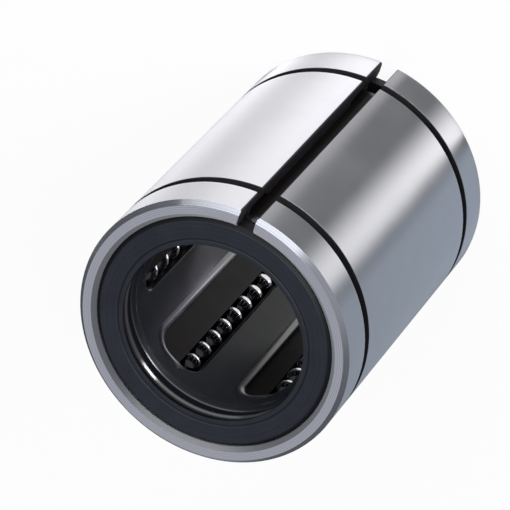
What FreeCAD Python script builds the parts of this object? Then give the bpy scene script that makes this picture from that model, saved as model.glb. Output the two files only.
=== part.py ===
import FreeCAD, Part
import math
import os

# Adjustable linear ball bearing. A slit steel sleeve holds a moulded ball retainer between two
# internal snap rings, with a wiper seal in each end. The balls run in closed circuits: a loaded row
# on the shaft, a turn at each end and a return row that lies further out.
# Millimetres. +Z runs along the bore, z = 0 is the rear end face, and the slit faces -Y.
# A depth is measured inwards from the nearer end face.

# Driving dimensions

SHAFT_DIA = 40.0            # shaft that the loaded rows run on
BALL_DIA = 5.556
CIRCUITS = 6
TURN_BALLS = 2              # balls in each turn of a circuit
TURN_LIFT_DEG = 10.0        # slope at which a turn lifts its balls off the shaft
RETURN_RISE = 1.4           # how much further out the return row lies than the loaded row

SLEEVE_LENGTH = 80.0
SLEEVE_WALL = 4.384         # over the ball track; gives an outside diameter of 60
SLEEVE_CHAMFER = 1.0
SLIT_WIDTH = 3.8
SLIT_EDGE_BREAK = 0.3
CLIP_GROOVE_WIDTH = 2.1     # outside grooves for the housing's retaining rings
CLIP_GROOVE_DEPTH = 1.5
CLIP_GROOVE_SETBACK = 9.75  # from the end face to the groove's near side
CLIP_GROOVE_BREAK = 0.2     # broken edges of the groove
TRACK_RAMP_LENGTH = 3.0     # run-out cone from the ball track to the turn's centre

SEAL_SEAT_STEP = 0.6        # seal seat radius over the ball track radius
SEAL_SEAT_CHAMFER = 0.9     # at the mouth of the seat
SEAL_RECESS = 0.4           # seal's face below the end face
SEAL_THICKNESS = 3.8
SEAL_EDGE = 1.0             # bevel round the seal's outside
SEAL_FACE_GROOVE_WIDTH = 0.5  # moulded groove round the face
SEAL_FACE_GROOVE_DEPTH = 0.35
SEAL_LIP_BAND = 0.95        # face of the lip, inside that groove
SEAL_LIP_LENGTH = 0.6
SEAL_GREASE_GROOVE = 1.15   # depth of the groove behind the lip
SEAL_GROOVE_RAMP = 0.65     # length of each sloping side of that groove
SEAL_GUIDE_LENGTH = 0.5
SEAL_GUIDE_PLAY = 0.35      # radial, guide to shaft

RING_THICKNESS = 2.0
RING_WIDTH = 3.1
RING_GROOVE_DEPTH = 0.9     # below the seal seat
RING_GAP_DEG = 32.0
RING_END_ROUND = 1.0        # corners at the gap

RETAINER_TURN_DEG = 1.9     # how far the retainer sits turned from the slit's middle line
LAND_PLAY = 0.3             # retainer lands to shaft
RETAINER_END_WALL = 1.0     # least wall between a turn's channel and the retainer's end
RETAINER_BORE_CHAMFER = 0.8
RETAINER_RIM_CHAMFER = 0.5
RETURN_FLOOR = 0.5          # retainer wall under the return row
POCKET_LOAD_MARGIN = 2.35   # from the loaded row's line to the pocket's side
POCKET_RETURN_MARGIN = 0.8  # from the return row's line to the pocket's side
POCKET_OVERRUN = 2.0        # pocket past the turn's centre
POCKET_CORNER = 3.5
POCKET_EDGE = 0.3           # rounding of the pocket's rim

# Clearances

SHAFT_PLAY = 0.01           # loaded ball to shaft
TRACK_PLAY = 0.05           # loaded ball to sleeve track
BALL_GAP = 0.064            # ball to ball
CHANNEL_PLAY = 0.12         # ball to retainer channel
TURN_PLAY = 0.1             # what a turn's channel has more than a row's
RELIEF_PLAY = 0.17          # returning ball to the sleeve's relief
LIP_PLAY = 0.05             # seal lip to shaft
RETAINER_PLAY = 0.2         # retainer in the sleeve, radial
SEAL_PLAY = 0.02            # seal in its seat, radial
RING_PLAY = 0.1             # snap ring in its groove, radial and at each flat side
CUT_MARGIN = 1.0            # how far a cutting shape passes what it cuts
MATCH = 1e-4                # two places or directions this close count as the same
EDGE_SAMPLES = 5            # points at which an edge is looked at

# Radii and depths that follow from them

X_AXIS = FreeCAD.Vector(1, 0, 0)
Z_AXIS = FreeCAD.Vector(0, 0, 1)
ORIGIN = FreeCAD.Vector(0, 0, 0)
FULL_TURN_DEG = 360
HALF_TURN_DEG = 180

shaft_r = SHAFT_DIA / 2
ball_r = BALL_DIA / 2
channel_r = ball_r + CHANNEL_PLAY
turn_channel_r = channel_r + TURN_PLAY
relief_ball_r = ball_r + RELIEF_PLAY
load_r = shaft_r + SHAFT_PLAY + ball_r
return_r = load_r + RETURN_RISE
track_r = load_r + ball_r + TRACK_PLAY
sleeve_r = track_r + SLEEVE_WALL
clip_groove_r = sleeve_r - CLIP_GROOVE_DEPTH
seat_r = track_r + SEAL_SEAT_STEP
seal_r = seat_r - SEAL_PLAY
lip_r = shaft_r + LIP_PLAY
ring_groove_r = seat_r + RING_GROOVE_DEPTH
ring_r = ring_groove_r - RING_PLAY
retainer_r = track_r - RETAINER_PLAY
land_r = shaft_r + LAND_PLAY

seal_back = SEAL_RECESS + SEAL_THICKNESS
ring_groove_near = seal_back
ring_near = ring_groove_near + RING_PLAY
ring_groove_far = ring_near + RING_THICKNESS + RING_PLAY
retainer_end = ring_groove_far + RING_PLAY

# Ball circuit, in a frame whose +X points out through the middle of the circuit

pitch = BALL_DIA + BALL_GAP
turn_step = math.pi / TURN_BALLS
turn_r = pitch / (2 * math.sin(turn_step / 2))
turn_lift = math.radians(TURN_LIFT_DEG)
turn_reach = turn_r * math.cos(turn_lift) + turn_channel_r

row_spread = math.acos((load_r ** 2 + return_r ** 2 - (2 * turn_r) ** 2) / (2 * load_r * return_r))
half_spread = row_spread / 2
load_line = FreeCAD.Vector(load_r * math.cos(half_spread), load_r * math.sin(half_spread), 0)
return_line = FreeCAD.Vector(return_r * math.cos(half_spread), -return_r * math.sin(half_spread), 0)
turn_line = (load_line + return_line) * 0.5
across = (load_line - return_line).normalize()
outward = across.cross(Z_AXIS).normalize()

row_room = SLEEVE_LENGTH - 2 * (retainer_end + RETAINER_END_WALL + turn_reach)
row_balls = int(row_room / pitch)
row_length = row_balls * pitch
middle_z = SLEEVE_LENGTH / 2
turn_depth = middle_z - row_length / 2
pocket_floor = return_line.x - channel_r - RETURN_FLOOR

SLIT_ANGLE = -90.0
circuit_step = FULL_TURN_DEG / CIRCUITS
first_circuit = SLIT_ANGLE + RETAINER_TURN_DEG + circuit_step / 2
circuit_angles = [first_circuit + circuit_step * k for k in range(CIRCUITS)]


def spin(points, sweep=FULL_TURN_DEG):
    """Solid of revolution about Z, from +X on, of a closed outline of (radius, z) points."""
    corners = [FreeCAD.Vector(r, 0, z) for r, z in points]
    outline = Part.makePolygon(corners + corners[:1])
    return Part.Face(outline).revolve(ORIGIN, Z_AXIS, sweep)


def flipped(points):
    """The same outline measured from the other end face, in reverse order."""
    return [(r, SLEEVE_LENGTH - z) for r, z in reversed(points)]


def turned(shape, angle):
    """A copy of a shape, turned about the bore axis."""
    return shape.rotated(ORIGIN, Z_AXIS, angle)


def runs_along(edge, direction):
    """True where an edge starts off parallel to a direction."""
    return edge.tangentAt(edge.FirstParameter).cross(direction).Length < MATCH


def turn_axis(end):
    """Axis that the balls of a turn go round, pointing outwards. end is +1 in front, -1 at the rear."""
    return outward * math.cos(turn_lift) - Z_AXIS * (end * math.sin(turn_lift))


def turn_centre(end):
    """Middle of a turn, on the line halfway between the two rows."""
    return turn_line + Z_AXIS * (middle_z + end * row_length / 2)


def turn_point(end, angle):
    """Centre of a ball in a turn. The angle is 0 at the loaded row and pi at the return row."""
    over = outward * math.sin(turn_lift) + Z_AXIS * (end * math.cos(turn_lift))
    return turn_centre(end) + (across * math.cos(angle) + over * math.sin(angle)) * turn_r


def relief_radius():
    """Inside radius that the sleeve needs for the balls to pass through a turn."""
    path = [turn_point(1, math.radians(degree)) for degree in range(HALF_TURN_DEG + 1)]
    return max(math.hypot(p.x, p.y) for p in path) + relief_ball_r


def outer_sleeve():
    """Steel tube with outside grooves, seal seats, ring grooves, ball track, return reliefs and slit."""
    relief_near = turn_depth - turn_r * math.cos(turn_lift) - relief_ball_r
    relief_r = relief_radius()
    clip_groove_far = CLIP_GROOVE_SETBACK + CLIP_GROOVE_WIDTH
    outside = [
        (sleeve_r - SLEEVE_CHAMFER, 0),
        (sleeve_r, SLEEVE_CHAMFER),
        (sleeve_r, CLIP_GROOVE_SETBACK - CLIP_GROOVE_BREAK),
        (sleeve_r - CLIP_GROOVE_BREAK, CLIP_GROOVE_SETBACK),
        (clip_groove_r, CLIP_GROOVE_SETBACK),
        (clip_groove_r, clip_groove_far),
        (sleeve_r - CLIP_GROOVE_BREAK, clip_groove_far),
        (sleeve_r, clip_groove_far + CLIP_GROOVE_BREAK),
    ]
    inside = [
        (track_r, turn_depth + TRACK_RAMP_LENGTH),
        (relief_r, turn_depth),
        (relief_r, relief_near),
        (track_r, relief_near),
        (track_r, ring_groove_far),
        (ring_groove_r, ring_groove_far),
        (ring_groove_r, ring_groove_near),
        (seat_r, ring_groove_near),
        (seat_r, SEAL_SEAT_CHAMFER),
        (seat_r + SEAL_SEAT_CHAMFER, 0),
    ]
    tube = spin(outside + flipped(outside) + flipped(inside) + inside)

    foot = return_line + Z_AXIS * turn_depth
    relief = Part.makeCylinder(relief_ball_r, row_length, foot, Z_AXIS)
    tube = tube.cut([turned(relief, angle) for angle in circuit_angles])
    return tube.cut(slit())


def slit():
    """Cutter for the slit along the sleeve, with its outer edges broken."""
    half = SLIT_WIDTH / 2
    edge_y = math.sqrt(sleeve_r ** 2 - half ** 2)
    wide = half + SLIT_EDGE_BREAK + CUT_MARGIN
    side = [
        (half, -shaft_r),
        (half, -edge_y + SLIT_EDGE_BREAK),
        (wide, -edge_y - CUT_MARGIN),
    ]
    outline = side + [(-x, y) for x, y in reversed(side)]
    corners = [FreeCAD.Vector(x, y, -CUT_MARGIN) for x, y in outline]
    face = Part.Face(Part.makePolygon(corners + corners[:1]))
    return face.extrude(Z_AXIS * (SLEEVE_LENGTH + 2 * CUT_MARGIN))


def seal_outline():
    """Section of a seal: flat face with its groove, lip, grease groove and guide, by depth."""
    band_r = lip_r + SEAL_LIP_BAND
    lip_far = SEAL_RECESS + SEAL_LIP_LENGTH
    groove_r = lip_r + SEAL_GREASE_GROOVE
    guide_r = shaft_r + SEAL_GUIDE_PLAY
    guide_near = seal_back - SEAL_GUIDE_LENGTH
    return [
        (seal_r - SEAL_EDGE, SEAL_RECESS),
        (seal_r, SEAL_RECESS + SEAL_EDGE),
        (seal_r, seal_back),
        (guide_r, seal_back),
        (guide_r, guide_near),
        (groove_r, guide_near - SEAL_GROOVE_RAMP),
        (groove_r, lip_far + SEAL_GROOVE_RAMP),
        (lip_r, lip_far),
        (lip_r, SEAL_RECESS),
        (band_r, SEAL_RECESS),
        (band_r + SEAL_FACE_GROOVE_WIDTH / 2, SEAL_RECESS + SEAL_FACE_GROOVE_DEPTH),
        (band_r + SEAL_FACE_GROOVE_WIDTH, SEAL_RECESS),
    ]


def snap_ring(near):
    """C ring of rectangular section whose gap, with rounded ends, lies behind the slit."""
    first = SLIT_ANGLE + RING_GAP_DEG / 2
    last = SLIT_ANGLE - RING_GAP_DEG / 2 + FULL_TURN_DEG
    foot = Z_AXIS * near
    outer = Part.makeCircle(ring_r, foot, Z_AXIS, first, last)
    inner = Part.makeCircle(ring_r - RING_WIDTH, foot, Z_AXIS, first, last)
    ends = [Part.makeLine(a.Point, b.Point) for a, b in zip(outer.Vertexes, inner.Vertexes)]
    outline = Part.Wire(Part.sortEdges([outer, inner] + ends)[0])
    ring = Part.Face(outline).extrude(Z_AXIS * RING_THICKNESS)
    return ring.makeFillet(RING_END_ROUND, [e for e in ring.Edges if runs_along(e, Z_AXIS)])


def channel_section(centre, wide, high, radius):
    """U section of a ball channel: round floor below the ball's centre, open outwards."""
    left = centre - wide * radius
    right = centre + wide * radius
    top = high * (retainer_r - load_r + CUT_MARGIN)
    floor = Part.Arc(right, centre - high * radius, left).toShape()
    walls = Part.makePolygon([left, left + top, right + top, right])
    return Part.Face(Part.Wire([floor] + walls.Edges))


def channel_cutter():
    """Closed channel of one circuit: two straight rows and the two lifted turns between them."""
    runout = channel_r * math.tan(turn_lift)
    foot = Z_AXIS * (turn_depth - runout)
    length = Z_AXIS * (row_length + 2 * runout)
    rows = [channel_section(line + foot, across, outward, channel_r).extrude(length)
            for line in (load_line, return_line)]
    turns = []
    for end in (1, -1):
        axis = turn_axis(end)
        centre = turn_centre(end)
        section = channel_section(centre + across * turn_r, across, axis, turn_channel_r)
        turns.append(section.revolve(centre, axis, HALF_TURN_DEG * end))
    return rows + turns


def pocket_cutter():
    """Flat-floored recess in the bore over one circuit, with rounded corners."""
    low_y = return_line.y - POCKET_RETURN_MARGIN
    high_y = load_line.y + POCKET_LOAD_MARGIN
    length = row_length + 2 * POCKET_OVERRUN
    foot = FreeCAD.Vector(0, low_y, middle_z - length / 2)
    block = Part.makeBox(pocket_floor, high_y - low_y, length, foot)
    return block.makeFillet(POCKET_CORNER, [e for e in block.Edges if runs_along(e, X_AXIS)])


def on_bore(edge):
    """True where an edge lies on the retainer's bore and bounds a pocket."""
    points = edge.discretize(EDGE_SAMPLES)
    on_wall = all(abs(math.hypot(p.x, p.y) - land_r) < MATCH for p in points)
    inside = all(abs(p.z - middle_z) < row_length / 2 + POCKET_OVERRUN + MATCH for p in points)
    return on_wall and inside


def retainer_sector():
    """One circuit's share of the retainer: bored wall, pocket and ball channel."""
    end = [
        (land_r, retainer_end + RETAINER_BORE_CHAMFER),
        (land_r + RETAINER_BORE_CHAMFER, retainer_end),
        (retainer_r - RETAINER_RIM_CHAMFER, retainer_end),
        (retainer_r, retainer_end + RETAINER_RIM_CHAMFER),
    ]
    sector = turned(spin(end + flipped(end), circuit_step), -circuit_step / 2)
    sector = sector.cut(pocket_cutter())
    sector = sector.makeFillet(POCKET_EDGE, [e for e in sector.Edges if on_bore(e)])
    return sector.cut(channel_cutter())


def ball_retainer():
    """Moulded cage: a tube with a pocket and a ball channel for each circuit."""
    sector = retainer_sector()
    sectors = [turned(sector, angle) for angle in circuit_angles]
    return sectors[0].fuse(sectors[1:]).removeSplitter()


def ball(centre):
    """One ball."""
    return Part.makeSphere(ball_r, centre)


def row_of_balls(line):
    """Balls of a straight row, half a pitch clear of the turn at each end."""
    first = turn_depth + pitch / 2
    return [ball(line + Z_AXIS * (first + i * pitch)) for i in range(row_balls)]


def turn_of_balls(end):
    """Balls of a turn, half a step clear of the row at each end."""
    return [ball(turn_point(end, turn_step * (i + 0.5))) for i in range(TURN_BALLS)]


def save(shape, node):
    """Write one node."""
    shape.exportStep("parts/" + node + ".step")


os.makedirs("parts", exist_ok=True)
save(outer_sleeve(), "outer_sleeve")
save(ball_retainer(), "ball_retainer")
save(spin(seal_outline()), "rear_seal")
save(spin(flipped(seal_outline())), "front_seal")
save(snap_ring(ring_near), "rear_snap_ring")
save(snap_ring(SLEEVE_LENGTH - ring_near - RING_THICKNESS), "front_snap_ring")

groups = {
    "load_balls": row_of_balls(load_line),
    "return_balls": row_of_balls(return_line),
    "front_turn_balls": turn_of_balls(1),
    "rear_turn_balls": turn_of_balls(-1),
}
for number, angle in enumerate(circuit_angles, start=1):
    for name, balls in groups.items():
        save(turned(Part.makeCompound(balls), angle), "circuit_%d_%s" % (number, name))
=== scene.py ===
"""Finishes and studio for an adjustable linear ball bearing that stands on its rear end.

Metres. +Z runs along the bore, z = 0 is the rear end face, and the slit faces -Y.
"""

import math

import bpy
import numpy as np
from bpy.props import FloatProperty, FloatVectorProperty, PointerProperty
from mathutils import Matrix, Vector


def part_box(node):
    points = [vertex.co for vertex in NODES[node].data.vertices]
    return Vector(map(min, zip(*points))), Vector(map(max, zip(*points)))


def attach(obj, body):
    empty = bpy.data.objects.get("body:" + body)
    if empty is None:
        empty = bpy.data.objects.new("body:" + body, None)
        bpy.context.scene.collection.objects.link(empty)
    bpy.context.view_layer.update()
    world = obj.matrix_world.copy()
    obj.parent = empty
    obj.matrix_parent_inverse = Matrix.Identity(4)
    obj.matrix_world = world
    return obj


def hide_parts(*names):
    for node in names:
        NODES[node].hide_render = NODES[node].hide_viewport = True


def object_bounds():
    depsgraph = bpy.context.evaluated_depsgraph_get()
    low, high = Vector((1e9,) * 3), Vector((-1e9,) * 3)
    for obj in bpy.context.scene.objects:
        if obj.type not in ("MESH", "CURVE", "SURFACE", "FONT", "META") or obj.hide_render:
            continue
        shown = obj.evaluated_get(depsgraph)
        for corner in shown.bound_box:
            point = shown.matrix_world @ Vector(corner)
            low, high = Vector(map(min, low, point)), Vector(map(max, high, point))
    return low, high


bl_info = {
    "name": "Linear ball bearing",
    "version": (1, 0, 0),
    "blender": (4, 5, 0),
    "location": "3D View > Sidebar > Bearing",
    "description": "Finishes and studio of an adjustable linear ball bearing",
    "category": "Object",
}

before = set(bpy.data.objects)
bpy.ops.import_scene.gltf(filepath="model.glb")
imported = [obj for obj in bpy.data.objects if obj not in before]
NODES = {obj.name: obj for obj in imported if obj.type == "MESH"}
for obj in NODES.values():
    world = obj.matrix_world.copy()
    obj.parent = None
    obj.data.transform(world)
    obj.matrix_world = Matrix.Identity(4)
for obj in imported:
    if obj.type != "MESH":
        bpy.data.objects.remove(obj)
CAD_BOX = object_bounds()
BALLS = [name for name in NODES if name.endswith("_balls")]
CIRCUITS = sorted(name.removesuffix("load_balls") for name in BALLS if name.endswith("_load_balls"))
MM = 0.001
LENGTH = CAD_BOX[1].z
SLEEVE_R = CAD_BOX[1].x

# Random patterns of the finishes: how many to a metre, and how deep their relief is
TOOL_LINES = 5200.0
GROUND_LINES = (60.0, 60.0, TOOL_LINES)
GROUND_CLOUD = 90.0
PLASTIC_CLOUD = 260.0
PLASTIC_GRAIN = 4200.0
RUBBER_CLOUD = 180.0
RUBBER_GRAIN = 3600.0
SPRING_CLOUD = 320.0
BALL_HAZE = 900.0
GROUND_RELIEF = 0.003 * MM
PLASTIC_RELIEF = 0.006 * MM
RUBBER_RELIEF = 0.012 * MM
NOISE_MIDDLE = 0.5
NOISE_CORE = (0.35, 0.65)         # where a noise passes from one tint to the other


# Shader expressions

class Value:
    """A node's output socket. Arithmetic on it adds Math nodes to its finish."""

    def __init__(self, finish, socket):
        self.finish = finish
        self.socket = socket

    def math(self, operation, first, second=0.0):
        return self.finish.node("ShaderNodeMath", {"operation": operation}, {0: first, 1: second})

    def __add__(self, other):
        return self.math("ADD", self, other)

    def __radd__(self, other):
        return self.math("ADD", other, self)

    def __sub__(self, other):
        return self.math("SUBTRACT", self, other)

    def __rsub__(self, other):
        return self.math("SUBTRACT", other, self)

    def __mul__(self, other):
        return self.math("MULTIPLY", self, other)

    def __rmul__(self, other):
        return self.math("MULTIPLY", other, self)

    def __pow__(self, other):
        return self.math("POWER", self, other)

    def __rpow__(self, other):
        return self.math("POWER", other, self)

    def __abs__(self):
        return self.math("ABSOLUTE", self)

    def least(self, other):
        """The smaller of the two."""
        return self.math("MINIMUM", self, other)

    def most(self, other):
        """The larger of the two."""
        return self.math("MAXIMUM", self, other)

    def swing(self, spread):
        """A noise, moved to lie round 0 and stretched."""
        return (self - NOISE_MIDDLE) * spread


class Finish:
    """A material, or the world, with its nodes."""

    def __init__(self, owner):
        owner.use_nodes = True
        self.owner = owner
        self.tree = owner.node_tree
        self.tree.nodes.clear()

    def feed(self, socket, value):
        if isinstance(value, Value):
            self.tree.links.new(value.socket, socket)
        else:
            socket.default_value = value

    def node(self, kind, settings=None, sockets=None, output=0):
        """Adds a node, sets it up, feeds its sockets, and gives back one of its outputs."""
        made = self.tree.nodes.new(kind)
        for name, value in (settings or {}).items():
            setattr(made, name, value)
        for key, value in (sockets or {}).items():
            self.feed(made.inputs[key], value)
        return Value(self, made.outputs[output])

    def blend(self, mask, first, second):
        """Mix of two colours: the second where the mask is 1."""
        return self.node("ShaderNodeMix", {"data_type": "RGBA"}, {0: mask, 6: first, 7: second}, 2)

    def place(self, scale=(1.0, 1.0, 1.0)):
        """Object coordinates, stretched."""
        point = self.node("ShaderNodeTexCoord", output="Object")
        return self.node("ShaderNodeMapping", None, {"Vector": point, "Scale": scale})

    def parts(self, vector):
        """The three numbers of a vector."""
        split = self.node("ShaderNodeSeparateXYZ", None, {"Vector": vector}).socket.node
        return [Value(self, output) for output in split.outputs]

    def radius(self):
        """Distance from the bore's axis."""
        x, y, _ = self.parts(self.place())
        return (x * x + y * y) ** 0.5

    def from_end(self):
        """Distance from the nearer end face, along the bore."""
        _, _, z = self.parts(self.place())
        return z.least(LENGTH - z)

    def rings(self):
        """Coordinates that change only across rings round the bore's axis."""
        _, _, z = self.parts(self.place())
        return self.node("ShaderNodeCombineXYZ", None, {0: self.radius() * TOOL_LINES, 1: z * TOOL_LINES})

    def noise(self, vector, scale=1.0, detail=2.0):
        """Soft random value round 0.5."""
        return self.node("ShaderNodeTexNoise", None, {"Vector": vector, "Scale": scale, "Detail": detail})

    def span(self, value, low, high):
        """0 below low, 1 above high, smooth between."""
        settings = {"interpolation_type": "SMOOTHSTEP", "clamp": True}
        sockets = {"Value": value, "From Min": low, "From Max": high}
        return self.node("ShaderNodeMapRange", settings, sockets)

    def band(self, value, low, high, soft):
        """1 between low and high, 0 further out than soft, smooth between."""
        return self.span(value, low - soft, low) * (1.0 - self.span(value, high, high + soft))

    def relief(self, height, depth):
        """Normal of a surface with a fine relief of that depth."""
        return self.node("ShaderNodeBump", None, {"Height": height, "Distance": depth})

    def close(self, kind, shader):
        """Adds the output node and gives back the material or the world."""
        end = self.tree.nodes.new(kind)
        self.feed(end.inputs["Surface"], shader)
        return self.owner

    def surface(self, sockets):
        """Closes the material with a principled shader."""
        shader = self.node("ShaderNodeBsdfPrincipled", None, sockets)
        return self.close("ShaderNodeOutputMaterial", shader)

    def glow(self, tint):
        """Closes the material of a card, which shines with its tint."""
        shader = self.node("ShaderNodeEmission", None, {"Color": tint})
        return self.close("ShaderNodeOutputMaterial", shader)


def new_finish(name):
    return Finish(bpy.data.materials.new(name))


def shade(tint, times=1.0):
    """A tint for a colour socket, made darker or lighter."""
    return (*(Vector(tint) * times), 1.0)


def dress(names, material):
    """Gives CAD nodes a finish."""
    for name in names:
        mesh = NODES[name].data
        mesh.materials.clear()
        mesh.materials.append(material)


# Surfaces

def least_radius(node):
    """Radius of a node's narrowest place round the bore."""
    vertices = NODES[node].data.vertices
    places = np.empty(3 * len(vertices))
    vertices.foreach_get("co", places)
    return float(np.hypot(places[0::3], places[1::3]).min())


def rounded(corners, radii, steps=7):
    """Closed profile through corners (n, 2), anticlockwise, each rounded by an arc of its radius.

    An arc of radius q at a corner P between the unit directions a and b, that lead to its neighbours,
    has its centre at P + (a + b) q / sin(angle), where angle lies between a and b, and touches the
    sides q / tan(angle / 2) from P. It is sampled at equal steps of its sweep pi - angle.
    """
    back = np.roll(corners, 1, axis=0) - corners
    ahead = np.roll(corners, -1, axis=0) - corners
    back /= np.linalg.norm(back, axis=1, keepdims=True)
    ahead /= np.linalg.norm(ahead, axis=1, keepdims=True)
    bend = np.arccos(np.clip((back * ahead).sum(axis=1), -1, 1))
    centre = corners + (back + ahead) * (radii / np.sin(bend))[:, None]
    touch = corners + back * (radii / np.tan(bend / 2))[:, None] - centre
    turn = np.sign(ahead[:, 0] * back[:, 1] - ahead[:, 1] * back[:, 0]) * (np.pi - bend)
    sweep = turn[:, None] * np.linspace(0, 1, steps)
    cos, sin = np.cos(sweep), np.sin(sweep)
    x = centre[:, :1] + touch[:, :1] * cos - touch[:, 1:] * sin
    y = centre[:, 1:] + touch[:, :1] * sin + touch[:, 1:] * cos
    return np.stack([x, y], axis=-1).reshape(-1, 2)


def filled(profile, step):
    """The same closed profile with points added, so that none are further apart than step."""
    run = np.roll(profile, -1, axis=0) - profile
    count = np.ceil(np.linalg.norm(run, axis=1) / step).astype(int).clip(1)
    start = np.repeat(np.arange(len(profile)), count)
    first = np.repeat(np.cumsum(count) - count, count)
    place = (np.arange(count.sum()) - first) / np.repeat(count, count)
    return profile[start] + run[start] * place[:, None]


def sheet(name, points, closed):
    """Object of a grid (rows, columns, 3) of points. A closed one meets itself both ways."""
    rows, columns = points.shape[:2]
    here = np.arange(rows * columns).reshape(rows, columns)
    below = np.roll(here, -1, axis=0)
    quads = np.stack([here, below, np.roll(below, -1, axis=1), np.roll(here, -1, axis=1)], axis=-1)
    if not closed:
        quads = quads[:-1, :-1]
    mesh = bpy.data.meshes.new(name)
    mesh.from_pydata(points.reshape(-1, 3).tolist(), [], quads.reshape(-1, 4).tolist())
    mesh.shade_smooth()
    made = bpy.data.objects.new(name, mesh)
    bpy.context.scene.collection.objects.link(made)
    return made


def revolved(name, profile, steps):
    """Closed surface (r cos t, r sin t, z) of a closed anticlockwise profile (r, z), for t round Z."""
    turn = np.linspace(0, 2 * np.pi, steps, endpoint=False)[:, None]
    r, z = profile.T
    return sheet(name, np.stack([r * np.cos(turn), r * np.sin(turn), z + 0 * turn], axis=-1), True)


# Values that a user would change

def colour(name, description, value):
    return FloatVectorProperty(name=name, description=description, subtype="COLOR", size=3,
                               min=0.0, max=1.0, default=value)


def share(name, description, value):
    return FloatProperty(name=name, description=description, subtype="FACTOR", min=0.0, max=1.0,
                         default=value)


def size(name, description, value):
    return FloatProperty(name=name, description=description, unit="LENGTH", subtype="DISTANCE",
                         precision=5, default=value)


def angle(name, description, degrees):
    return FloatProperty(name=name, description=description, unit="ROTATION", subtype="ANGLE",
                         default=math.radians(degrees))


def power(name, description, watts):
    return FloatProperty(name=name, description=description, unit="POWER", precision=5, default=watts)


def pixels(name, description, value):
    return FloatProperty(name=name, description=description, subtype="PIXEL", default=value)


class SteelValues(bpy.types.PropertyGroup):
    """Finish of the sleeve, the balls and the snap rings."""
    sleeve: colour("Sleeve", "Ground steel of the sleeve", (0.74, 0.74, 0.76))
    sleeve_roughness: share("Sleeve roughness", "Mean roughness of the ground steel", 0.3)
    sleeve_spread: share("Sleeve spread", "How much that roughness changes from place to place", 0.1)
    sleeve_grain: share("Grinding grain", "How much the grinding spreads light along the bore", 1.0)
    grain_turn: share("Grain turn", "Direction of that grain, in turns", 0.25)
    end: colour("End faces", "Turned steel of the end faces and the chamfers", (0.6, 0.625, 0.68))
    end_polish: share("End polish", "How much smoother that steel is than the ground steel", 0.12)
    mouth: colour("Seat mouth", "Turned steel of the bevel round each seal", (0.54, 0.55, 0.575))
    mouth_roughness: share("Mouth roughness", "How much rougher that bevel is", 0.42)
    skin: colour("Hardening skin", "Unground steel in the grooves, the slit and the bore",
                 (0.055, 0.055, 0.062))
    skin_oxide: share("Skin oxide", "How much of the metal the skin hides", 0.85)
    skin_roughness: share("Skin roughness", "How much rougher the skin is than the ground steel", 0.25)
    skin_depth: size("Skin depth", "How far below the ground surfaces the skin begins", 0.05 * MM)
    clip_groove: size("Clip groove", "Near side of the outer groove, from the end", 9.75 * MM)
    clip_groove_width: size("Clip groove width", "Along the bore", 2.1 * MM)
    clip_groove_depth: size("Clip groove depth", "From the outside", 1.5 * MM)
    face: size("End face", "Width of the turned end face with its chamfer", 2.88 * MM)
    chamfer: size("End chamfer", "Of the sleeve's outer edges", 1.0 * MM)
    ball: colour("Balls", "Polished steel of the balls", (0.82, 0.82, 0.84))
    ball_roughness: share("Ball roughness", "Mean roughness of the balls", 0.14)
    ball_spread: share("Ball spread", "How much that roughness changes from place to place", 0.06)
    ring: colour("Snap rings", "Oiled spring steel", (0.2, 0.2, 0.215))
    ring_roughness: share("Ring roughness", "Mean roughness of the snap rings", 0.4)
    ring_spread: share("Ring spread", "How much that roughness changes from place to place", 0.2)


class RetainerValues(bpy.types.PropertyGroup):
    """Finish of the retainer, and the shape of its beads."""
    land: colour("Lands", "Moulded plastic of the retainer's lands", (0.012, 0.0145, 0.019))
    land_gloss: share("Land gloss", "Gloss of the lands, beside that of the edges", 0.25)
    pocket: colour("Pockets", "The same plastic under the grease of the pockets", (0.008, 0.006, 0.005))
    roughness: share("Roughness", "Mean roughness of the plastic", 0.4)
    spread: share("Spread", "How much that roughness changes from place to place", 0.2)
    bead: size("Bead", "Width of the bead beside each pocket", 1.8 * MM)
    bead_height: size("Bead height", "Above the land", 0.23 * MM)
    bead_sink: size("Bead sink", "How far under the land the bead runs out", 0.1 * MM)
    bead_setback: size("Bead setback", "From the pocket's side to the bead's middle", 1.05 * MM)
    pocket_load_side: size("Pocket's load side", "From the loaded row's line", 2.35 * MM)
    pocket_return_side: size("Pocket's return side", "From the return row's line", 0.8 * MM)
    pocket_overrun: size("Pocket overrun", "From the last ball of the loaded row", 2.03 * MM)
    pocket_corner: size("Pocket corner", "Radius of the pocket's corners", 3.5 * MM)


class SealValues(bpy.types.PropertyGroup):
    """Shape and finish of both seals."""
    rubber: colour("Rubber", "Colour of the seals", (0.008, 0.0095, 0.016))
    roughness: share("Roughness", "Mean roughness of the rubber", 0.55)
    spread: share("Spread", "How much that roughness changes from ring to ring", 0.3)
    edge: size("Edge", "Bevel round the outside of the face", 1.0 * MM)
    face_groove: size("Face groove", "Depth of the moulded groove round the face", 0.35 * MM)
    face_groove_width: size("Face groove width", "Across that groove", 0.5 * MM)
    lip_band: size("Lip band", "Face of the lip, inside that groove", 0.95 * MM)
    lip_length: size("Lip length", "Along the bore", 0.6 * MM)
    groove: size("Grease groove", "Depth of the groove behind the lip", 1.15 * MM)
    groove_ramp: size("Groove ramp", "Length of each sloping side of that groove", 0.65 * MM)
    guide: size("Guide", "Radius of the guide over the lip's", 0.3 * MM)
    guide_length: size("Guide length", "Along the bore", 0.5 * MM)
    rounding: size("Rounding", "Of the moulded corners", 0.18 * MM)
    ridge: size("Ridge", "Height of the fine moulded ridges on the face", 0.02 * MM)
    ridge_pitch: size("Ridge pitch", "From one fine ridge to the next", 0.55 * MM)


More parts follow.
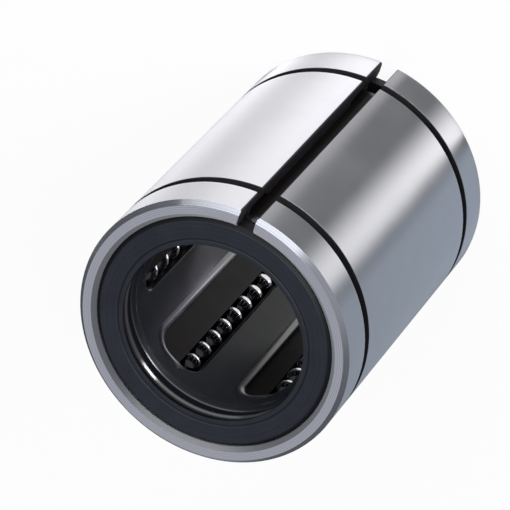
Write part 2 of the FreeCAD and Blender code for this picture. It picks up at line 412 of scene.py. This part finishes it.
class StageValues(bpy.types.PropertyGroup):
    """Camera, lamps and floor."""
    lens: FloatProperty(name="Lens", description="Focal length, in millimetres", unit="CAMERA",
                        default=268.2)
    distance: size("Distance", "From the lens to the middle of the front face", 0.7765)
    tilt: angle("Tilt", "Between the line of sight and the bore's axis", 34.92)
    turn: angle("Turn", "Of the bore's axis in the picture, above the horizontal", 47.49)
    slit: angle("Slit", "From the slit round to the side that faces the camera", 20.9)
    face_x: pixels("Face X", "Front face's middle, from the left of the picture", 211.2)
    face_y: pixels("Face Y", "Front face's middle, from the top of the picture", 334.8)
    world: colour("Surroundings", "Light from all round", (0.5, 0.5, 0.53))
    floor: colour("Floor", "Pale floor", (0.86, 0.86, 0.87))
    floor_white: share("Floor's white", "How much of the floor that is seen is plain white", 0.92)
    tent: colour("Tent", "Grey tent that the steel mirrors between the cards", (0.15, 0.155, 0.165))
    dark: colour("Tent's walls", "What edges and chamfers mirror from far round", (0.12, 0.12, 0.13))
    rear: colour("Tent's rear", "What the steel mirrors from behind", (0.16, 0.16, 0.17))
    flag: colour("Flag", "Dark flag in the bore, that the balls mirror", (0.04, 0.04, 0.045))
    key: power("Key lamp", "Of the large lamp on the camera's right", 3.6)
    front: power("Front lamp", "Of the lamp on the camera's left", 1.2)
    edge: power("Edge lamp", "Of the small lamp below the front lamp", 1.2)
    bore: power("Bore lamp", "Of the small lamp under the bore", 0.0013)
    bore_tint: colour("Bore lamp's tint", "Colour of its light", (0.8, 0.74, 1.0))


# Sleeve

END_SKIM = (0.01 * MM, 0.03 * MM)       # under an end face, where its finish stops
BEVEL_SKIM = (0.02 * MM, 0.05 * MM)     # under a chamfer or a seat's mouth
SKIN_EDGE = (0.8, 1.2)                  # where the skin begins, in skin depths
GROOVE_SHADE_MARGIN = 0.2 * MM                   # of the painted shade round a clip groove
GROOVE_SHADE_SOFT = 0.1 * MM                     # width of that painted shade's soft edge
# how much the painted shade of a clip groove darkens the skin
GROOVE_SHADE_TINT = 0.2
GROUND_TINT = 1.06                      # paler clouds of the ground steel
TURNED_TINTS = (0.88, 1.12)             # darker and paler rings of the turned steel
BEVEL_RISE = math.sqrt(0.5)             # bevels slope at 45 degrees


class BEARING_OT_sleeve(bpy.types.Operator):
    """Ground finish of the sleeve, with a dark hardening skin where the wheel doesn't reach, painted
    shade in the clip grooves and a painted shade line where each seal sits
    """
    bl_idname = "bearing.sleeve"
    bl_label = "Sleeve"

    def execute(self, context):
        values = context.scene.bearing_steel
        finish = new_finish("ground_steel")
        cloud = finish.noise(finish.place(), GROUND_CLOUD, detail=4.0)
        lines = finish.noise(finish.place(GROUND_LINES), detail=3.0)
        turned = finish.noise(finish.rings(), detail=3.0)
        from_end = finish.from_end()
        from_wall = SLEEVE_R - finish.radius()
        from_chamfer = (from_end + from_wall - values.chamfer) * BEVEL_RISE
        from_mouth = (from_end - from_wall + values.face) * BEVEL_RISE
        # The skin also lies on the seal's seat, which is unground, and as a thin dark band on the mouth's
        # inner edge next to the seal: painted shade at the joint between sleeve and seal.
        from_seat = abs(from_wall - (SLEEVE_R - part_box("front_seal")[1].x))
        below = from_wall.least(from_end).least(from_chamfer).least(from_mouth).least(from_seat)
        skin = finish.span(below, *(values.skin_depth * times for times in SKIN_EDGE))
        on_end = 1.0 - finish.span(from_end, *END_SKIM)
        bevel = 1.0 - finish.span(from_chamfer.least(from_mouth), *BEVEL_SKIM)
        mouth = 1.0 - finish.span(from_mouth, *BEVEL_SKIM)

        # The clip groove and a margin round it get a darker skin: painted shade in the groove. dark is
        # the skin's tint with that painted shade.
        near = values.clip_groove - GROOVE_SHADE_MARGIN
        far = values.clip_groove + values.clip_groove_width + GROOVE_SHADE_MARGIN
        floor = values.clip_groove_depth
        clip_groove_shade = finish.band(from_end, near, far, GROOVE_SHADE_SOFT)
        clip_groove_shade = clip_groove_shade * (1.0 - finish.span(from_wall, floor, floor + GROOVE_SHADE_SOFT))
        dark = finish.blend(clip_groove_shade, shade(values.skin), shade(values.skin, GROOVE_SHADE_TINT))

        clouded = finish.span(cloud, *NOISE_CORE)
        steel = finish.blend(clouded, shade(values.sleeve), shade(values.sleeve, GROUND_TINT))
        ringed = finish.span(turned, *NOISE_CORE)
        turned_steel = finish.blend(ringed, *(shade(values.end, times) for times in TURNED_TINTS))
        steel = finish.blend(on_end.most(bevel), steel, turned_steel)
        steel = finish.blend(mouth, steel, shade(values.mouth))

        roughness = values.sleeve_roughness + cloud.swing(values.sleeve_spread)
        roughness = roughness + skin * values.skin_roughness
        roughness = roughness - (bevel + on_end) * values.end_polish + mouth * values.mouth_roughness
        material = finish.surface({
            "Base Color": finish.blend(skin, steel, dark),
            "Metallic": 1.0 - skin * values.skin_oxide,
            "Roughness": roughness,
            "Anisotropic": values.sleeve_grain,
            "Anisotropic Rotation": values.grain_turn,
            "Normal": finish.relief(lines * (1.0 - on_end) + turned * on_end, GROUND_RELIEF),
        })
        dress(["outer_sleeve"], material)
        return {"FINISHED"}


# Retainer

PAST_ENDS = (8.0 * MM, 8.4 * MM)        # from the end face, past the edges of the retainer's ends
POCKET_DEEP = (0.02 * MM, 0.15 * MM)    # over the land's radius, where the pockets' grease begins
END_EDGE = (0.03 * MM, 0.15 * MM)       # over the land's radius, where an end's inner edge stops
END_BEVEL = (0.56 * MM, 0.64 * MM)      # over the land's radius, where an end's bevel meets its face
LEANING = (0.99, 1.0)                   # part of a normal that is across the bore, on a rounded edge
BEAD_ARC = 17                           # points round each corner of a bead
BEAD_STEP = 0.5 * MM                    # between points along a bead
BEAD_SECTION = 24                       # points round a bead's section
BEAD_RUN_OUT = 3.0                      # how steeply a bead runs out on its way to the loaded row


def moulded(name, values):
    """Finish of the moulded plastic, and the sockets that are the same on all its pieces."""
    finish = new_finish(name)
    cloud = finish.noise(finish.place(), PLASTIC_CLOUD, detail=4.0)
    grain = finish.noise(finish.place(), PLASTIC_GRAIN)
    return finish, {
        "Roughness": values.roughness + cloud.swing(values.spread),
        "Specular IOR Level": 0.15,
        "Normal": finish.relief(grain, PLASTIC_RELIEF),
    }


class BEARING_OT_retainer(bpy.types.Operator):
    """Moulded finish of the ball retainer, with glossy edges and grease in its pockets"""
    bl_idname = "bearing.retainer"
    bl_label = "Retainer"

    def execute(self, context):
        values = context.scene.bearing_retainer
        finish, sockets = moulded("retainer_plastic", values)
        inside = finish.span(finish.from_end(), *PAST_ENDS)
        over_land = finish.radius() - least_radius("ball_retainer")
        deep = finish.span(over_land, *POCKET_DEEP) * inside
        x, y, _ = finish.parts(finish.node("ShaderNodeNewGeometry", output="Normal"))
        rim = (1.0 - finish.span((x * x + y * y) ** 0.5, *LEANING)) * inside
        edge = (1.0 - finish.span(over_land, *END_EDGE)).most(finish.span(over_land, *END_BEVEL))
        land = (1.0 - deep) * inside * values.land_gloss
        material = finish.surface(sockets | {
            "Base Color": finish.blend(deep, shade(values.land), shade(values.pocket)),
            "Coat Weight": land.most(rim).most(edge * (1.0 - inside)),
            "Coat Roughness": 0.2,
            "Coat IOR": 1.6,
        })
        dress(["ball_retainer"], material)
        return {"FINISHED"}


class BEARING_OT_beads(bpy.types.Operator):
    """Moulded bead on the retainer along the return side and the ends of each pocket"""
    bl_idname = "bearing.beads"
    bl_label = "Beads"

    def execute(self, context):
        values = context.scene.bearing_retainer
        finish, sockets = moulded("bead_plastic", values)
        material = finish.surface(sockets | {
            "Base Color": shade(values.land),
            "Coat Weight": 1.0,
            "Coat Roughness": 0.3,
            "Coat IOR": 2.4,
        })
        for circuit in CIRCUITS:
            made = sheet(circuit + "pocket_bead", self.bead(values, circuit), True)
            made.data.materials.append(material)
            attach(made, "housing")
        return {"FINISHED"}

    def bead(self, values, circuit):
        """Grid (path, section, 3) of one bead.

        Its path is the pocket's outline, a rounded rectangle in the plane (y, z) that faces the bore's
        axis, moved out by the setback and laid on the land of radius R at the angle asin(y / R). Across
        the path, at cos(q) half widths, the section stands sin(q)^2 heights over the land, and for q
        past pi it lies sin(q)^2 times twice the sink under it. On the way to the loaded row the height
        falls to one sink under the land, so that the bead runs out there.
        """
        land = least_radius("ball_retainer")
        low, high = (np.array(corner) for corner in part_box(circuit + "load_balls"))
        load = (low + high)[:2] / 2
        back = sum(np.array(corner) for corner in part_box(circuit + "return_balls"))[:2] / 2
        out = load / np.linalg.norm(load) + back / np.linalg.norm(back)
        middle = math.atan2(out[1], out[0])
        across = np.array((-math.sin(middle), math.cos(middle)))
        row = load @ across
        far = row + values.pocket_load_side + values.bead_setback
        near = back @ across - values.pocket_return_side - values.bead_setback
        reach = values.pocket_overrun + values.bead_setback
        bottom, top = low[2] - reach, high[2] + reach
        corners = np.array([(near, bottom), (far, bottom), (far, top), (near, top)])
        radii = np.full(len(corners), values.pocket_corner + values.bead_setback)
        path = filled(rounded(corners, radii, BEAD_ARC), BEAD_STEP)

        ahead = np.roll(path, -1, axis=0) - np.roll(path, 1, axis=0)
        ahead /= np.linalg.norm(ahead, axis=1, keepdims=True)
        from_row = np.clip((row - path[:, :1]) / (row - near), 0, 1)
        height = BEAD_RUN_OUT * values.bead_height * from_row - values.bead_sink
        q = np.linspace(2 * np.pi, 0, BEAD_SECTION, endpoint=False)
        rise = np.where(q < np.pi, np.minimum(values.bead_height, height), -2 * values.bead_sink)
        aside = np.cos(q) * values.bead / 2
        y = path[:, :1] + ahead[:, 1:] * aside
        z = path[:, 1:] - ahead[:, :1] * aside
        r = land - rise * np.sin(q) ** 2
        turn = middle + np.arcsin(y / land)
        return np.stack([r * np.cos(turn), r * np.sin(turn), z], axis=-1)


# Seals

SEAL_STEP = 0.1 * MM                    # between points of a seal's section
SEAL_TURN = 192                         # points round a seal
RUBBER_RINGS = 0.5                      # rings of the rubber, to a line of the tool
GRAIN_SHARE = 0.3                       # of the grain in its relief, beside the rings
RING_SHARE = 0.6                        # of the rings in its wear, the rest being clouds
WORN = (0.38, 0.66)                     # where rubber passes into worn rubber
WORN_TINT = 1.8
SHADE_BELOW_FACE = (0.5 * MM, 0.65 * MM)      # from the end face, where painted shade begins to darken the rubber
# how dark that painted shade makes the rubber
SHADE_BELOW_TINT = 0.3
BEHIND_LIP = (2.4 * MM, 2.5 * MM)       # from the end face, where the far slope of the groove begins
GREASE = (0.5 * MM, 0.8 * MM)           # over the lip's radius, the greased part of that slope
GREASE_SOFT = 0.1 * MM


class BEARING_OT_seals(bpy.types.Operator):
    """Both moulded seals: ridged face with a groove, wiping lip, grease groove and guide"""
    bl_idname = "bearing.seals"
    bl_label = "Seals"

    def execute(self, context):
        values = context.scene.bearing_seal
        material = self.rubber(values, least_radius("front_seal"))
        self.add_seal("front_seal", values, material, 1.0)
        self.add_seal("rear_seal", values, material, -1.0)
        return {"FINISHED"}

    def add_seal(self, node, values, material, up):
        """One seal. Its section is measured down from its face, which looks up or down the bore."""
        low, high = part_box(node)
        outer = high.x
        deep = high.z - low.z
        lip = least_radius(node)
        band = lip + values.lip_band
        lip_far = values.lip_length
        guide_near = deep - values.guide_length
        corners = np.array([
            (outer - values.edge, 0.0),
            (band + values.face_groove_width, 0.0),
            (band + values.face_groove_width / 2, values.face_groove),
            (band, 0.0),
            (lip, 0.0),
            (lip, lip_far),
            (lip + values.groove, lip_far + values.groove_ramp),
            (lip + values.groove, guide_near - values.groove_ramp),
            (lip + values.guide, guide_near),
            (lip + values.guide, deep),
            (outer, deep),
            (outer, values.edge),
        ])
        profile = filled(rounded(corners, np.full(len(corners), values.rounding)), SEAL_STEP)
        on_face = profile[:, 1] < values.rounding / 2
        wave = np.sin(np.pi * (profile[:, 0] - outer) / values.ridge_pitch) ** 2
        profile[:, 1] += on_face * wave * values.ridge
        face = high.z if up > 0 else low.z
        profile[:, 1] = face - up * profile[:, 1]
        made = revolved(node + "_rubber", profile[::int(up)], SEAL_TURN)
        made.data.materials.append(material)
        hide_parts(node)
        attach(made, "housing")

    def rubber(self, values, lip):
        """Rubber with worn rings on the face, painted shade on all that lies below the face, and grease
        on the groove's far slope.
        """
        finish = new_finish("seal_rubber")
        cloud = finish.noise(finish.place(), RUBBER_CLOUD, detail=5.0)
        grain = finish.noise(finish.place(), RUBBER_GRAIN)
        rings = finish.noise(finish.rings(), RUBBER_RINGS, detail=4.0)
        worn = finish.span(rings * RING_SHARE + cloud * (1.0 - RING_SHARE), *WORN)
        from_end = finish.from_end()
        # Surfaces more than about half a millimetre under the face get painted shade: the lower outer
        # bevel, the lip's wall, the groove and the guide.
        below = finish.span(from_end, *SHADE_BELOW_FACE)
        behind = finish.span(from_end, *BEHIND_LIP)
        greased = finish.band(finish.radius(), *(lip + over for over in GREASE), GREASE_SOFT) * behind
        face = finish.blend(worn, shade(values.rubber), shade(values.rubber, WORN_TINT))
        return finish.surface({
            "Base Color": finish.blend(below, face, shade(values.rubber, SHADE_BELOW_TINT)),
            "Roughness": values.roughness + rings.swing(values.spread),
            "Specular IOR Level": 0.35,
            "Coat Weight": greased,
            "Coat Roughness": 0.12,
            "Coat IOR": 1.65,
            "Normal": finish.relief(grain * GRAIN_SHARE + rings, RUBBER_RELIEF),
        })


# Snap rings and balls

class BEARING_OT_snap_rings(bpy.types.Operator):
    """Oiled finish of both snap rings"""
    bl_idname = "bearing.snap_rings"
    bl_label = "Snap rings"

    def execute(self, context):
        values = context.scene.bearing_steel
        finish = new_finish("spring_steel")
        cloud = finish.noise(finish.place(), SPRING_CLOUD, detail=4.0)
        material = finish.surface({
            "Base Color": shade(values.ring),
            "Metallic": 1.0,
            "Roughness": values.ring_roughness + cloud.swing(values.ring_spread),
        })
        dress(["front_snap_ring", "rear_snap_ring"], material)
        return {"FINISHED"}


class BEARING_OT_balls(bpy.types.Operator):
    """Polished finish of the balls"""
    bl_idname = "bearing.balls"
    bl_label = "Balls"

    def execute(self, context):
        values = context.scene.bearing_steel
        finish = new_finish("ball_steel")
        haze = finish.noise(finish.place(), BALL_HAZE, detail=3.0)
        material = finish.surface({
            "Base Color": shade(values.ball),
            "Metallic": 1.0,
            "Roughness": values.ball_roughness + haze.swing(values.ball_spread),
        })
        dress(BALLS, material)
        return {"FINISHED"}


# Studio

PICTURE = 510                           # pixels along each side of the picture
SENSOR = 36.0                           # millimetres across the camera's sensor
WHITE = (1.0, 1.0, 1.0)
FLOOR_REACH = 40 * LENGTH

# Lamps that look at the bearing's middle: azimuth and elevation in degrees, distance, width and height
LAMPS = {
    "key": (-73.0, 38.0, 0.7, 1.0, 1.0),
    "front": (-135.0, 54.0, 0.8, 0.18, 0.12),
    "edge": (-136.2, 37.0, 0.8, 0.2, 0.1),
}

# Lamp under the bore: width and height, place, and the turn that makes it look up
BORE_LAMP = (11.0 * MM, 3.0 * MM)
BORE_LAMP_PLACE = (-14.8 * MM, 3.0 * MM, 0.5 * MM)
BORE_LAMP_TURN = (math.pi, 0.0, math.radians(20.0))

TENT_FOOT = 1.01 * SLEEVE_R             # where the tent begins, just clear of the sleeve
TENT_LOW = 0.01 * SLEEVE_R              # height of its floor, and its first step away from the foot
TENT_REACH = 20 * SLEEVE_R
TENT_WALL = (SLEEVE_R, 12 * SLEEVE_R)   # heights of its walls
TENT_DARK = (4 * SLEEVE_R, 9 * SLEEVE_R)
TENT_ROWS = 24                          # points across its floor
WALL_ROWS = 4                           # points up its walls
TENT_STEPS = 361                        # points round it
BACKING_HEIGHT = 0.003 * SLEEVE_R
RING_STEPS = 97                         # points round a flat ring
FLAG_HOLE = 0.1 * MM
FLAG_PLAY = 0.3 * MM                    # between the flag and the retainer's lands

# Cards of the tent: the angles on the sleeve, from the camera's side, between which a card shows, each
# with the half width of its soft edge, in degrees, and the card's tint
CARDS = (
    (-92.0, 1.0, -21.5, 1.5, (0.98, 0.98, 1.01)),
    (-72.0, 1.0, -62.0, 14.0, (2.2, 2.2, 2.22)),
    (-92.0, 1.0, -72.0, 1.0, (0.05, 0.05, 0.055)),
    (-38.0, 10.0, -21.5, 1.5, (1.5, 1.5, 1.53)),
    (-20.0, 2.0, -13.0, 2.5, (0.55, 0.55, 0.57)),
    (10.0, 8.0, 22.0, 2.0, (1.42, 1.42, 1.44)),
    (27.0, 3.0, 73.0, 2.0, (0.39, 0.45, 0.53)),
    (80.5, 2.5, 110.0, 1.0, (0.42, 0.42, 0.44)),
)


def camera_pose(values):
    """Camera's matrix. In the camera's axes (right, up, back) the bore runs from its front end along
    axis = (sin tilt cos turn, sin tilt sin turn, -cos tilt), toward is the direction across the bore
    that leans most to the camera, and aside = (-sin turn, cos turn, 0). The slit lies at the angle
    slit from toward, on the side of aside."""
    sin_tilt, cos_tilt = math.sin(values.tilt), math.cos(values.tilt)
    sin_turn, cos_turn = math.sin(values.turn), math.cos(values.turn)
    axis = Vector((sin_tilt * cos_turn, sin_tilt * sin_turn, -cos_tilt))
    toward = Vector((cos_tilt * cos_turn, cos_tilt * sin_turn, sin_tilt))
    aside = Vector((-sin_turn, cos_turn, 0.0))
    y = -(toward * math.cos(values.slit) + aside * math.sin(values.slit))
    z = -axis
    x = y.cross(z)
    turn = Matrix((x, y, z))
    step = SENSOR / values.lens / PICTURE * values.distance
    middle = PICTURE / 2
    seen = Vector(((values.face_x - middle) * step, (middle - values.face_y) * step, -values.distance))
    return Matrix.Translation(Vector((0.0, 0.0, LENGTH)) - turn @ seen) @ turn.to_4x4()


def new_lamp(name, watts, wide, high):
    """White area lamp."""
    lamp = bpy.data.lights.new(name, "AREA")
    lamp.shape = "RECTANGLE"
    lamp.size = wide
    lamp.size_y = high
    lamp.energy = watts
    placed = bpy.data.objects.new(name, lamp)
    bpy.context.scene.collection.objects.link(placed)
    return placed


def aimed_lamp(name, watts, azimuth, elevation, distance, wide, high):
    """Area lamp that looks at the bearing's middle from an azimuth and elevation in degrees."""
    placed = new_lamp(name, watts, wide, high)
    turn, rise = math.radians(azimuth), math.radians(elevation)
    away = Vector((math.cos(turn) * math.cos(rise), math.sin(turn) * math.cos(rise), math.sin(rise)))
    placed.location = Vector((0.0, 0.0, LENGTH / 2)) + away * distance
    placed.rotation_euler = away.to_track_quat("Z", "Y").to_euler()
    return placed


def leave_out(names, *lamps):
    """Keeps the light of these lamps off some nodes."""
    unlit = bpy.data.collections.new("unlit")
    for name in names:
        unlit.objects.link(NODES[name])
    for item in unlit.collection_objects:
        item.light_linking.link_state = "EXCLUDE"
    for lamp in lamps:
        lamp.light_linking.receiver_collection = unlit


def only_mirrored(card):
    """Puts a card on the stage so that only polished surfaces see it."""
    card.visible_camera = False
    card.visible_diffuse = False
    card.visible_transmission = False
    card.visible_shadow = False


def add_ring(name, inner, outer, height, tint):
    """Flat ring (r cos t, r sin t, height) for r from inner to outer, that only polished surfaces see."""
    r = np.array([inner, outer])
    t = np.linspace(0, 2 * np.pi, RING_STEPS)[:, None]
    ring = sheet(name, np.stack([r * np.cos(t), r * np.sin(t), height + 0 * r * t], axis=-1), False)
    ring.data.materials.append(new_finish(name).glow(shade(tint)))
    only_mirrored(ring)


class BEARING_OT_stage(bpy.types.Operator):
    """Floor, surroundings, tent, flag, lamps and camera"""
    bl_idname = "bearing.stage"
    bl_label = "Stage"

    def execute(self, context):
        scene = context.scene
        values = scene.bearing_stage
        scene.view_settings.view_transform = "Standard"
        self.add_world(scene, values)
        self.add_floor(scene, values)
        self.add_tent(values)
        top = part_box("ball_retainer")[1][2]
        # Dark sheet across the bore at the retainer's top, seen only in reflections: it paints darker
        # reflections on the balls, where the bearing has nothing.
        add_ring("bore_flag", FLAG_HOLE, least_radius("ball_retainer") - FLAG_PLAY, top, values.flag)
        self.add_lamps(values)
        self.add_camera(scene, values)
        return {"FINISHED"}

    def add_world(self, scene, values):
        """Grey light from all round, that the camera sees as white."""
        scene.world = bpy.data.worlds.new("surroundings")
        finish = Finish(scene.world)
        camera = finish.node("ShaderNodeLightPath", output="Is Camera Ray")
        tint = finish.blend(camera, shade(values.world), shade(WHITE))
        finish.close("ShaderNodeOutputWorld", finish.node("ShaderNodeBackground", None, {"Color": tint}))

    def add_floor(self, scene, values):
        """Square floor that takes shadows, nearly white to the camera and to polished surfaces."""
        corners = np.array([(-1, -1, 0), (1, -1, 0), (1, 1, 0), (-1, 1, 0)]) * FLOOR_REACH
        mesh = bpy.data.meshes.new("floor")
        mesh.from_pydata(corners.tolist(), [], [(0, 1, 2, 3)])
        floor = bpy.data.objects.new("floor", mesh)
        scene.collection.objects.link(floor)
        finish = new_finish("floor")
        camera, glossy, through = (finish.node("ShaderNodeLightPath", output=name) for name in
                                   ("Is Camera Ray", "Is Glossy Ray", "Is Transmission Ray"))
        lit = finish.node("ShaderNodeBsdfDiffuse", None, {"Color": shade(values.floor)})
        white = finish.node("ShaderNodeEmission", None, {"Color": shade(WHITE)})
        part = camera.most(glossy).most(through) * values.floor_white
        mixed = finish.node("ShaderNodeMixShader", None, {0: part, 1: lit, 2: white})
        mesh.materials.append(finish.close("ShaderNodeOutputMaterial", mixed))

    def add_tent(self, values):
        """Low tent that only polished surfaces see. At the angle a from the camera's side the sleeve
        mirrors the line R (cos a, sin a) + d (cos 2a, sin 2a) of the floor, so the tent is ruled by
        these lines, turned up at the far end, and a card shows as a straight band along the sleeve."""
        a = np.radians(np.linspace(-90, 90, TENT_STEPS))[:, None]
        away = np.concatenate([np.geomspace(TENT_LOW, TENT_REACH, TENT_ROWS),
                               np.full(WALL_ROWS, TENT_REACH)])
        high = np.concatenate([np.full(TENT_ROWS, TENT_LOW), np.linspace(*TENT_WALL, WALL_ROWS)])
        side = -(math.pi / 2 + values.slit)
        x = TENT_FOOT * np.cos(side - a) + away * np.cos(side - 2 * a)
        y = TENT_FOOT * np.sin(side - a) + away * np.sin(side - 2 * a)
        tent = sheet("tent", np.stack([x, y, high + 0 * a], axis=-1), False)
        shown = tent.data.attributes.new("shown_at", "FLOAT", "POINT")
        shown.data.foreach_set("value", np.degrees(a + 0 * away).ravel())
        only_mirrored(tent)
        add_ring("tent_backing", TENT_FOOT, TENT_REACH, BACKING_HEIGHT, values.rear)

        finish = new_finish("tent")
        place = finish.node("ShaderNodeAttribute", {"attribute_name": "shown_at"}, None, "Fac")
        tint = shade(values.tent)
        for start, start_soft, end, end_soft, card in CARDS:
            lit = finish.span(place, start - start_soft, start + start_soft)
            lit = lit * (1.0 - finish.span(place, end - end_soft, end + end_soft))
            tint = finish.blend(lit, tint, shade(card))
        far = finish.span(finish.radius(), *TENT_DARK)
        tent.data.materials.append(finish.glow(finish.blend(far, tint, shade(values.dark))))

    def add_lamps(self, values):
        """Three lamps round the camera, kept off what they would give a second glint, and one under
        the bore."""
        lamps = {name: aimed_lamp(name + "_lamp", getattr(values, name), *LAMPS[name]) for name in LAMPS}
        leave_out(BALLS, lamps["key"])
        leave_out(BALLS + ["outer_sleeve"], lamps["front"], lamps["edge"])
        bore = new_lamp("bore_lamp", values.bore, *BORE_LAMP)
        bore.data.color = values.bore_tint
        bore.location = BORE_LAMP_PLACE
        bore.rotation_euler = BORE_LAMP_TURN

    def add_camera(self, scene, values):
        lens = bpy.data.cameras.new("camera")
        lens.lens = values.lens
        lens.sensor_width = SENSOR
        camera = bpy.data.objects.new("camera", lens)
        scene.collection.objects.link(camera)
        camera.matrix_world = camera_pose(values)
        scene.camera = camera


# Add-on

class BEARING_PT_panel(bpy.types.Panel):
    """Values and steps of the bearing"""
    bl_label = "Linear ball bearing"
    bl_space_type = "VIEW_3D"
    bl_region_type = "UI"
    bl_category = "Bearing"

    def draw(self, context):
        for group in GROUPS:
            values = getattr(context.scene, group)
            box = self.layout.box()
            for name in values.__annotations__:
                box.prop(values, name)
        for step in STEPS:
            self.layout.operator(step.bl_idname)


GROUPS = {
    "bearing_steel": SteelValues,
    "bearing_retainer": RetainerValues,
    "bearing_seal": SealValues,
    "bearing_stage": StageValues,
}
STEPS = (
    BEARING_OT_sleeve,
    BEARING_OT_retainer,
    BEARING_OT_beads,
    BEARING_OT_seals,
    BEARING_OT_snap_rings,
    BEARING_OT_balls,
    BEARING_OT_stage,
)


def register():
    for kind in (*GROUPS.values(), *STEPS, BEARING_PT_panel):
        bpy.utils.register_class(kind)
    for name, kind in GROUPS.items():
        setattr(bpy.types.Scene, name, PointerProperty(type=kind))


def unregister():
    for name in GROUPS:
        delattr(bpy.types.Scene, name)
    for kind in (BEARING_PT_panel, *reversed(STEPS), *reversed(GROUPS.values())):
        bpy.utils.unregister_class(kind)


def main():
    register()
    bpy.ops.bearing.sleeve()
    bpy.ops.bearing.retainer()
    bpy.ops.bearing.beads()
    bpy.ops.bearing.seals()
    bpy.ops.bearing.snap_rings()
    bpy.ops.bearing.balls()
    bpy.ops.bearing.stage()


if __name__ == "__main__":
    main()
